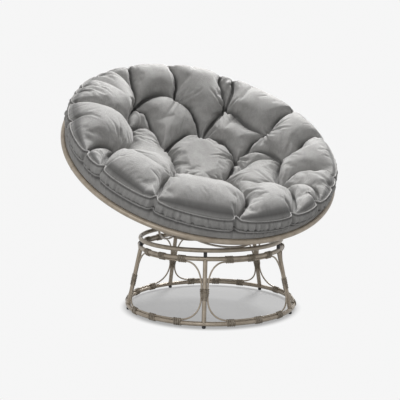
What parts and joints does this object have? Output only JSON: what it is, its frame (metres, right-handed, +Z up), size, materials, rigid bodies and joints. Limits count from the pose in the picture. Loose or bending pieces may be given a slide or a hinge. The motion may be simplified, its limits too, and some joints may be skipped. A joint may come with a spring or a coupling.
{
  "type": "papasan chair",
  "caption": "Round papasan lounge chair: a tufted dish cushion in a loose ribbed metal bowl that leans on a ring stand with bound wire loops.",
  "frame": {"origin": "the middle of the whole chair's outline seen from above, on the floor", "axes": "+Z up, -Y the way the bowl faces, +X to the right of someone who looks along +Y at the chair's front"},
  "size_m": [1.084, 0.9536, 0.9409],
  "materials": {
    "frame_paint": "matte taupe powder coat on round steel tube and rod",
    "winding_strand": "flat taupe synthetic strand wound in close turns",
    "black_plastic": "matt black moulded plastic",
    "cushion_cloth": "soft woven mid-grey cloth over a thick fibre fill"
  },
  "bodies": {
    "stand": {"base_ring": "frame_paint", "stand_ring": "frame_paint", "seat_ring": "frame_paint", "leg_1": "frame_paint", "leg_2": "frame_paint", "leg_3": "frame_paint", "leg_4": "frame_paint", "leg_5": "frame_paint", "glide_1": "black_plastic", "glide_2": "black_plastic", "glide_3": "black_plastic", "glide_4": "black_plastic", "glide_5": "black_plastic", "spacer_1": "black_plastic", "spacer_2": "black_plastic", "spacer_3": "black_plastic", "spacer_4": "black_plastic", "spacer_5": "black_plastic", "loop_1": "frame_paint", "loop_2": "frame_paint", "loop_3": "frame_paint", "loop_4": "frame_paint", "loop_5": "frame_paint", "leg_winding_1": "winding_strand", "leg_winding_2": "winding_strand", "leg_winding_3": "winding_strand", "leg_winding_4": "winding_strand", "leg_winding_5": "winding_strand"},
    "bowl": {"bowl_rim": "frame_paint", "bowl_bottom_ring": "frame_paint", "rib_1": "frame_paint", "rib_2": "frame_paint", "rib_3": "frame_paint", "rib_4": "frame_paint", "rib_5": "frame_paint", "rib_6": "frame_paint", "rib_7": "frame_paint", "rib_8": "frame_paint", "rib_9": "frame_paint", "rib_10": "frame_paint"},
    "cushion": {"cushion": "cushion_cloth"}
  },
  "joints": [
    {"name": "bowl_turn", "type": "hinge", "parent": "stand", "child": "bowl", "pos_m": [0, -0.08458, 0.267], "axis": [0, 0, 1], "continuous": true},
    {"name": "cushion_lift", "type": "slide", "parent": "bowl", "child": "cushion", "axis": [0, -0.5255, 0.8508], "range_m": [0, 0.25]}
  ]
}
